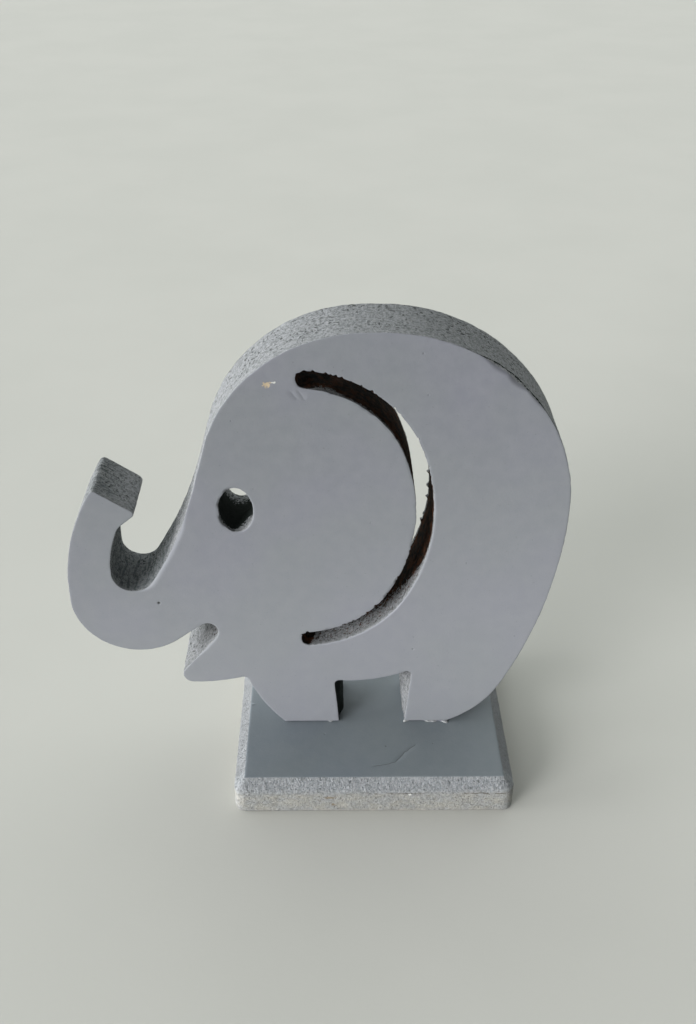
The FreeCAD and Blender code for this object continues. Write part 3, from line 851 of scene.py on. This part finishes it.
# Pale coat on the rear leg's wall, made lighter as painted light.
EDGE_PALE_AND_LIT = (0.78, 0.78, 0.77)
SIDE = (0.235, 0.240, 0.252)
CHAMFER = (0.40, 0.40, 0.42)
BEIGE = (0.42, 0.40, 0.355)
SEAM = (0.12, 0.10, 0.08)
STAIN = (0.22, 0.15, 0.07)
FLECK = (0.85, 0.85, 0.82)
PORE = (0.035, 0.038, 0.036)
# Raw board, darker inside the slot and the eye than on the underside.
RAW = (0.012, 0.008, 0.006)
RAW_RED = (0.066, 0.024, 0.010)
# Dark grey for raw board where shade falls: painted shade.
RAW_SHADE_GREY = (0.016, 0.021, 0.019)
RAW_LIGHT = (0.30, 0.20, 0.12)
RAW_PALE = (0.42, 0.31, 0.20)
GLUE = (0.38, 0.39, 0.385)
ZINC, ZINC_BLOOM = (0.60, 0.56, 0.42), (0.70, 0.66, 0.58)
FLOOR, FLOOR_LIGHT = (0.560, 0.556, 0.524), (0.578, 0.572, 0.540)

EDGE_BUMP = 0.24       # mm of relief in the sawn edges' fibres
# Marks on the plate's front side: centre and half sizes in mm.
STAINS = (((-12.5, -34.0, 5.4), (1.6, 1.0, 0.4)), ((-11.6, -34.0, 2.6), (0.5, 1.0, 0.5)))
SIDE_FLECK = ((10.0, -34.0, 6.4), (0.5, 1.0, 0.36))


def clouded(look, colour, other):
    """Two paint colours in broad soft patches."""
    return look.mix(look.ramp(look.noise(look.place(34.0), 2.0), 0.35, 0.65), colour, other)


def elephant_paint():
    """The elephant's faces, with painted light that makes them lighter downwards and to the right."""
    look = Look("matte_paint", 0.62)
    x, _, z = look.axes()
    leaning = look.minus(z, look.times(x, 0.21))
    # Painted light: a lighter tone mixed in downwards and to the right.
    painted_light_gradient = look.ramp(leaning, 128.0 * MM, 12.0 * MM, 0.0, 0.33)
    return matte(look, look.mix(painted_light_gradient, clouded(look, PAINT, PAINT_GREEN), PAINTED_LIGHT_TONE))


def plate_paint():
    look = Look("matte_plate_paint", 0.62)
    return matte(look, clouded(look, PLATE, PLATE_GREEN))


def matte(look, colour):
    """A little dust, specks, a tan chip with a pale fleck, and the marks that bare gives."""
    mottle = look.ramp(look.noise(look.place(3.2), 4.0, 0.65), 0.3, 0.75)
    colour = look.mix(look.times(mottle, 0.08), colour, DUST)
    specks = look.ramp(look.noise(look.place(0.55), 2.0, 0.5), 0.70, 0.78)
    colour = look.mix(look.times(specks, 0.35), colour, PAINT_DARK)
    tan = look.spot((-27.3, -9.0, 121.9), (1.0, 1.5, 0.7), 1.1)
    colour = look.mix(look.times(tan, 0.75), colour, CHIP)
    fleck = look.spot((-25.6, -9.0, 122.5), (0.45, 1.5, 0.22), 0.9)
    colour = look.mix(look.times(fleck, 0.8), colour, CHIP_FLECK)
    marks = look.ramp(look.attribute("bare"), 0.1, 0.9, 0.0, 0.85)
    colour = look.mix(marks, colour, PORE)
    peel = look.noise(look.place(0.9), 3.0, 0.6)
    grit = look.noise(look.place(0.22), 2.0, 0.5)
    height = look.plus(peel, look.times(grit, 0.5))
    return look.finish(colour, height, 0.03, look.ramp(mottle, 0.0, 1.0, 0.58, 0.72))


def edge_look(name):
    look = Look(name, 0.85)
    look.shader.inputs["Specular IOR Level"].default_value = 0.05
    return look


def sprayed_fibres(look, grain, coat, gaps, pore_range, pore_dark, pores_where=1.0):
    """Pale winding fibres, darker gaps between them and pores; gives a colour and a height."""
    fine = look.noise(look.place(0.62 * grain), 3.0, 0.62)
    swirl = look.noise(look.place(1.0 * grain, 0.85 * grain, 1.0 * grain), 3.0, 0.55, 1.3)
    thread = look.ramp(look.maths("ABSOLUTE", look.minus(swirl, 0.5)), 0.0, 0.04, 1.0, 0.0)
    clusters = look.ramp(look.noise(look.place(3.6), 3.0), 0.38, 0.62, 0.25, 1.0)
    pores = look.noise(look.place(0.6 * grain, 0.75 * grain, 0.6 * grain), 1.5, 0.5)
    pores = look.times(look.ramp(pores, *pore_range), clusters)
    pores = look.times(pores, pores_where)
    colour = look.mix(look.times(thread, 0.7), coat, DUST)
    colour = look.mix(look.ramp(fine, 0.38, 0.56, gaps, 0.0), colour, PAINT_DARK)
    colour = look.mix(look.times(pores, pore_dark), colour, PORE)
    height = look.plus(look.times(thread, 0.4), fine)
    return colour, look.minus(height, pores)


def raw_board(look, colour, shade_grey=0.0):
    """The pale coat, partly painted light, where bare is below 0 and raw board where it is above, over a
    colour; where greyed, the board is dark grey as painted shade.
    """
    bare = look.attribute("bare")
    # The pale coat, made lighter as painted light.
    colour = look.mix(look.ramp(bare, -0.05, -0.3, 0.0, 0.85), colour, EDGE_PALE_AND_LIT)
    grit = look.noise(look.place(0.7, 0.55, 0.7), 3.0, 0.7)
    cover = look.plus(bare, look.times(look.minus(grit, 0.5), 4.6))
    raw = look.times(look.ramp(cover, 0.44, 0.60), look.ramp(bare, 0.0, 0.12))
    patches = look.noise(look.place(2.4), 4.0, 0.65)
    board = look.mix(look.ramp(patches, 0.42, 0.62), RAW, RAW_RED)
    fresh = look.ramp(look.noise(look.place(0.8, 1.2, 0.8), 3.0, 0.7), 0.56, 0.72)
    board = look.mix(look.times(fresh, 0.16), board, RAW_LIGHT)
    board = look.mix(shade_grey, board, RAW_SHADE_GREY)
    return look.mix(raw, colour, board)


def elephant_edge():
    """The elephant's sawn edge: sawing marks on the tip, and a dark coat there and in the hook that is
    partly thin paint and partly painted shade.
    """
    look = edge_look("sprayed_sawn_edge")
    x, y, z = look.axes()
    # Fewer pores show near the front face.
    core = look.ramp(y, -8.0 * MM, -3.5 * MM, 0.35, 1.0)
    colour, height = sprayed_fibres(look, 1.3, EDGE_LIGHT, 0.46, (0.575, 0.64), 0.85, core)
    tip = look.times(look.ramp(x, -56.0 * MM, -59.0 * MM), look.ramp(z, 87.0 * MM, 89.5 * MM))
    sawn = look.noise(look.place(3.4, 0.55, 3.4), 3.0, 0.6, 0.4)
    dark = look.times(look.ramp(sawn, 0.50, 0.36, 0.0, 0.7), tip)
    colour = look.mix(dark, colour, PAINT_DARK)
    light = look.times(look.ramp(sawn, 0.52, 0.66, 0.0, 0.4), tip)
    colour = look.mix(light, colour, DUST)
    height = look.plus(height, look.times(sawn, tip))
    hook = look.spot((-63.0, 0.0, 66.0), (13.0, 12.0, 13.0), 0.1)
    across = look.noise(look.place(0.75, 5.0, 0.75), 3.0, 0.6, 0.3)
    dark = look.times(look.ramp(across, 0.52, 0.38, 0.0, 0.75), hook)
    colour = look.mix(dark, colour, PAINT_DARK)
    height = look.plus(height, look.times(across, hook))
    # A dark grey-green over the hook and the tip: partly a thin coat, and in the hook's curl painted
    # shade.
    thin = look.plus(look.times(hook, 0.42), look.times(tip, 0.22))
    colour = look.mix(thin, colour, EDGE_THIN_AND_SHADE)
    # Painted shade: raw board is a dark grey, not brown, left of the ear slot above 60 mm (the eye, the
    # hook and the trunk's tip), past the slot's right side and between the legs.
    eye = look.times(look.ramp(x, -27.0 * MM, -29.0 * MM), look.ramp(z, 58.0 * MM, 61.0 * MM))
    right = look.ramp(x, 17.5 * MM, 18.5 * MM)
    legs = look.ramp(z, 33.0 * MM, 31.0 * MM)
    shade_grey = look.maths("MAXIMUM", look.maths("MAXIMUM", right, legs), eye)
    return look.finish(raw_board(look, colour, shade_grey), height, EDGE_BUMP)


def plate_edge():
    """The plate's edge: a streaked chamfer, beige sides, a dark seam between, stains and a fleck."""
    look = edge_look("sprayed_plate_edge")
    x, y, z = look.axes()
    colour, height = sprayed_fibres(look, 1.0, EDGE, 0.34, (0.60, 0.68), 0.4)
    from_middle = look.maths("ABSOLUTE", y)
    front_or_back = look.ramp(from_middle, 28.5 * MM, 29.5 * MM)
    sloped = look.times(look.ramp(z, 6.8 * MM, 8.2 * MM), front_or_back)
    streak = look.noise(look.place(0.45, 2.0, 1.1), 2.0, 0.6, 0.5)
    pale = look.times(look.ramp(streak, 0.47, 0.66, 0.0, 0.75), sloped)
    colour = look.mix(pale, colour, CHAMFER)
    grey = look.times(look.ramp(streak, 0.45, 0.32, 0.0, 0.35), sloped)
    colour = look.mix(grey, colour, PAINT_DARK)
    height = look.plus(height, look.times(streak, sloped))
    colour = look.mix(look.ramp(from_middle, 29.2 * MM, 28.0 * MM, 0.0, 0.65), colour, SIDE)
    below = look.ramp(z, 8.4 * MM, 5.6 * MM)
    beige = look.ramp(look.noise(look.place(3.2, 3.2, 2.0), 4.0, 0.65), 0.36, 0.66, 0.30, 0.75)
    colour = look.mix(look.times(below, beige), colour, BEIGE)
    seam = look.times(look.ramp(z, 6.5 * MM, 6.8 * MM), look.ramp(z, 7.1 * MM, 6.8 * MM))
    seam = look.times(seam, look.ramp(x, -14.0 * MM, 0.0))
    broken = look.ramp(look.noise(look.place(4.0, 4.0, 1.2), 3.0, 0.7), 0.44, 0.60, 0.0, 0.9)
    colour = look.mix(look.times(seam, broken), colour, SEAM)
    for centre, size in STAINS:
        colour = look.mix(look.times(look.spot(centre, size, 1.0), 0.6), colour, STAIN)
    colour = look.mix(look.spot(*SIDE_FLECK, 0.3), colour, FLECK)
    return look.finish(raw_board(look, colour), height, EDGE_BUMP)


def underside():
    """Raw board with some overspray."""
    look = Look("raw_underside", 0.85)
    grain = look.noise(look.place(0.8), 5.0, 0.7)
    spread = look.ramp(look.noise(look.place(26.0), 4.0, 0.6), 0.4, 0.62)
    board = look.mix(look.ramp(grain, 0.3, 0.7), RAW_LIGHT, RAW_PALE)
    colour = look.mix(look.times(spread, 0.7), board, PAINT)
    return look.finish(colour, grain, 0.06)


def glue_look():
    look = Look("dried_glue", 0.5)
    patch = look.ramp(look.noise(look.place(1.6), 3.0), 0.4, 0.6, 0.5, 1.0)
    pale = look.times(patch, look.ramp(look.attribute("bare"), 0.15, 0.5))
    colour = look.mix(pale, PAINT, GLUE)
    return look.finish(colour, look.noise(look.place(0.6), 3.0), 0.08)


def screw_look():
    look = Look("zinc_plate", 0.34)
    look.shader.inputs["Metallic"].default_value = 1.0
    bloom = look.ramp(look.noise(look.place(1.4), 4.0), 0.35, 0.7)
    colour = look.mix(bloom, ZINC, ZINC_BLOOM)
    scuff = look.ramp(look.noise(look.place(0.6, 0.6, 3.0), 4.0), 0.3, 0.7, 0.24, 0.46)
    return look.finish(colour, look.noise(look.place(0.25), 3.0), 0.01, scuff)


def floor_look():
    look = Look("pale_floor", 0.8)
    look.shader.inputs["Specular IOR Level"].default_value = 0.2
    cloud = look.noise(look.place(90.0), 3.0)
    colour = look.mix(look.ramp(cloud, 0.3, 0.7), FLOOR, FLOOR_LIGHT)
    return look.finish(colour, look.noise(look.place(1.5), 3.0), 0.02)


# ---------------------------------------- pieces

elephant_looks = [elephant_paint(), elephant_edge()]
elephant().build("elephant", elephant_looks, "painted_mdf", "elephant_panel")
plate_looks = [plate_paint(), plate_edge(), underside()]
base().build("plate", plate_looks, "painted_mdf_base", "base_plate")
glue = glue_look()
for name in BEADS:
    glue_bead(name, glue)
metal = screw_look()
for name in ("front_foot_screw", "rear_foot_screw"):
    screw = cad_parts[name]
    screw.data.materials.clear()
    screw.data.materials.append(metal)
    soft = screw.modifiers.new("soft_edges", "BEVEL")
    soft.width = 0.08 * MM
    soft.segments = 2

# ---------------------------------------- floor, lights and camera

FLOOR_HALF = 6.0       # m
FLOOR_DROP = 0.02      # mm from the plate's underside down to the floor
# The window's light as two broad suns: name, degrees left of the front, degrees up, strength
# and width in degrees.
SUNS = (("window_near", 47, 12, 3.2, 30), ("window_far", 88, -1.5, 5.35, 40))
# Strength of the room's light from the window side, from the other side and from the wall behind.
FROM_LEFT, FROM_RIGHT, FROM_BACK = 1.389, 0.227, 1.734
BACKDROP = 0.62        # strength of the plain backdrop that shows past the floor
ROOM = (0.95, 1.0, 0.97, 1.0)
# The camera as recovered from the photo: place in metres, degrees down, degrees left, lens in mm.
CAMERA_PLACE = (-0.01159, -0.24900, 0.24182)
CAMERA_DOWN, CAMERA_LEFT = 33.154, -0.378
SENSOR, LENS, SHIFT = 36.0, 38.67, 0.0096


def floor_plane():
    half = FLOOR_HALF
    corners = [(-half, -half, 0), (half, -half, 0), (half, half, 0), (-half, half, 0)]
    mesh = bpy.data.meshes.new("floor")
    mesh.from_pydata(corners, [], [(0, 1, 2, 3)])
    mesh.materials.append(floor_look())
    made = bpy.data.objects.new("floor", mesh)
    made.location.z = -FLOOR_DROP * MM
    bpy.context.scene.collection.objects.link(made)
    return made


def sun(name, azimuth, elevation, strength, spread):
    """A broad soft light from azimuth degrees left of the front."""
    lamp = bpy.data.lights.new(name, "SUN")
    lamp.energy = strength
    lamp.angle = math.radians(spread)
    light = bpy.data.objects.new(name, lamp)
    a, e = math.radians(azimuth), math.radians(elevation)
    source = Vector((-math.cos(e) * math.sin(a), -math.cos(e) * math.cos(a), math.sin(e)))
    light.rotation_mode = "QUATERNION"
    light.rotation_quaternion = source.to_track_quat("Z", "Y")
    bpy.context.scene.collection.objects.link(light)


def room():
    """Light from the left, from the wall behind and a little from the right; a plain backdrop."""
    world = bpy.data.worlds.new("room")
    world.use_nodes = True
    nodes, links = world.node_tree.nodes, world.node_tree.links
    ways = nodes.new("ShaderNodeTexCoord")
    parts = nodes.new("ShaderNodeSeparateXYZ")
    links.new(ways.outputs["Generated"], parts.inputs[0])
    total = None
    for axis, end, strength in (("X", -1, FROM_LEFT), ("X", 1, FROM_RIGHT), ("Y", 1, FROM_BACK)):
        share = nodes.new("ShaderNodeMapRange")
        share.inputs["From Max"].default_value = end
        share.inputs["To Max"].default_value = strength
        links.new(parts.outputs[axis], share.inputs["Value"])
        if total is None:
            total = share.outputs[0]
        else:
            both = nodes.new("ShaderNodeMath")
            links.new(total, both.inputs[0])
            links.new(share.outputs[0], both.inputs[1])
            total = both.outputs[0]
    rays = nodes.new("ShaderNodeLightPath")
    shown = nodes.new("ShaderNodeMix")
    links.new(rays.outputs["Is Camera Ray"], shown.inputs["Factor"])
    links.new(total, shown.inputs["A"])
    shown.inputs["B"].default_value = BACKDROP
    sky = nodes["Background"]
    sky.inputs["Color"].default_value = ROOM
    links.new(shown.outputs["Result"], sky.inputs["Strength"])
    return world


def camera():
    lens = bpy.data.cameras.new("camera")
    lens.sensor_width = SENSOR
    lens.lens = LENS
    lens.shift_x = SHIFT
    lens.clip_start = 0.01
    made = bpy.data.objects.new("camera", lens)
    made.location = CAMERA_PLACE
    made.rotation_euler = (math.radians(90 - CAMERA_DOWN), 0.0, math.radians(CAMERA_LEFT))
    bpy.context.scene.collection.objects.link(made)
    return made


floor = floor_plane()
for settings in SUNS:
    sun(*settings)
bpy.context.scene.world = room()
bpy.context.scene.view_settings.view_transform = "Standard"
bpy.context.scene.camera = camera()
